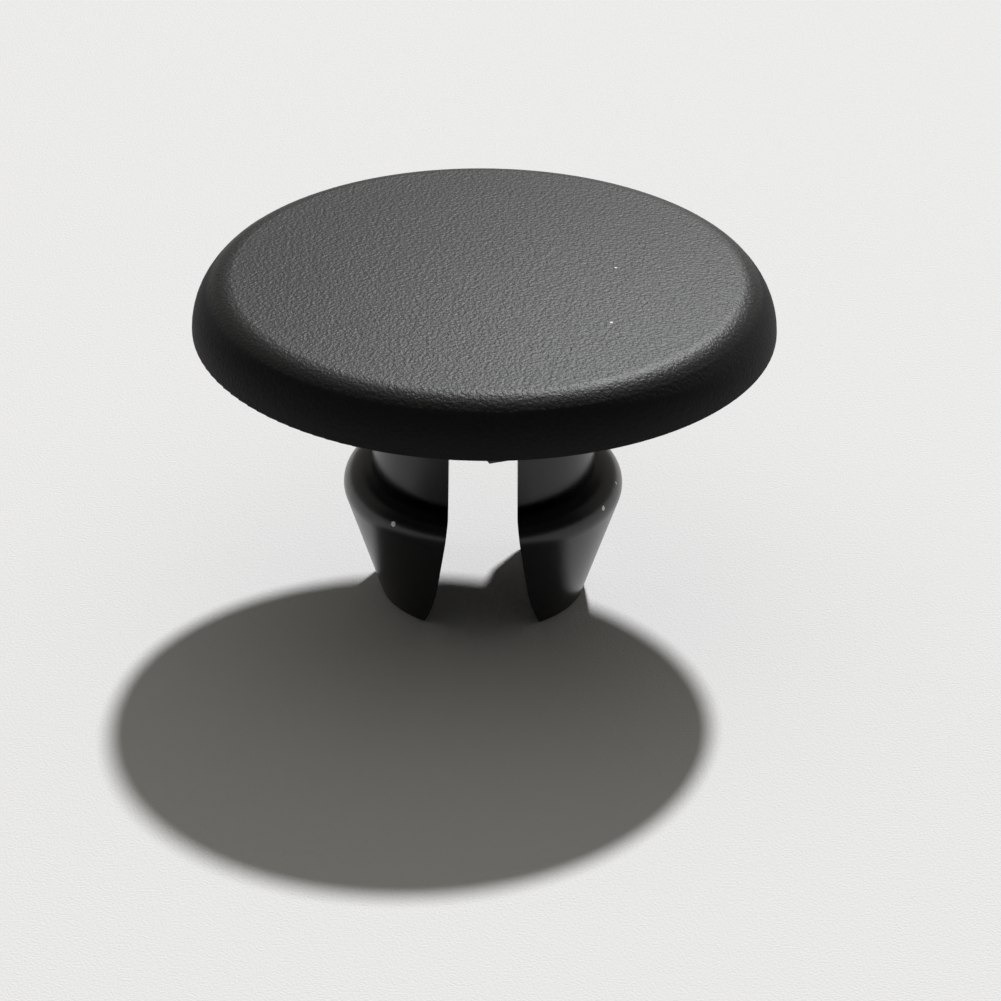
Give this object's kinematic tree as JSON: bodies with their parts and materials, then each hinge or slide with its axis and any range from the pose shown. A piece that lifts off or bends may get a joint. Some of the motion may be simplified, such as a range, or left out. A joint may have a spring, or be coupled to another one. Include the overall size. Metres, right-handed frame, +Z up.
{
  "type": "push-in hole plug",
  "caption": "One-piece moulded push-in hole plug: a round, grained, slightly crowned head on a round stem split into two barbed legs.",
  "frame": {"origin": "on the axis, in the plane of the leg tips that the plug stands on", "axes": "+Z up along the axis from the tips to the head, +X from one leg to the other, the slot between the legs runs along Y"},
  "size_m": [0.03, 0.03, 0.0183],
  "materials": {
    "black_plastic": "black moulded plastic: fine spark grain on the head, smooth and glossy on the stem and legs"
  },
  "bodies": {
    "root": {"hole_plug": "black_plastic"}
  },
  "joints": []
}
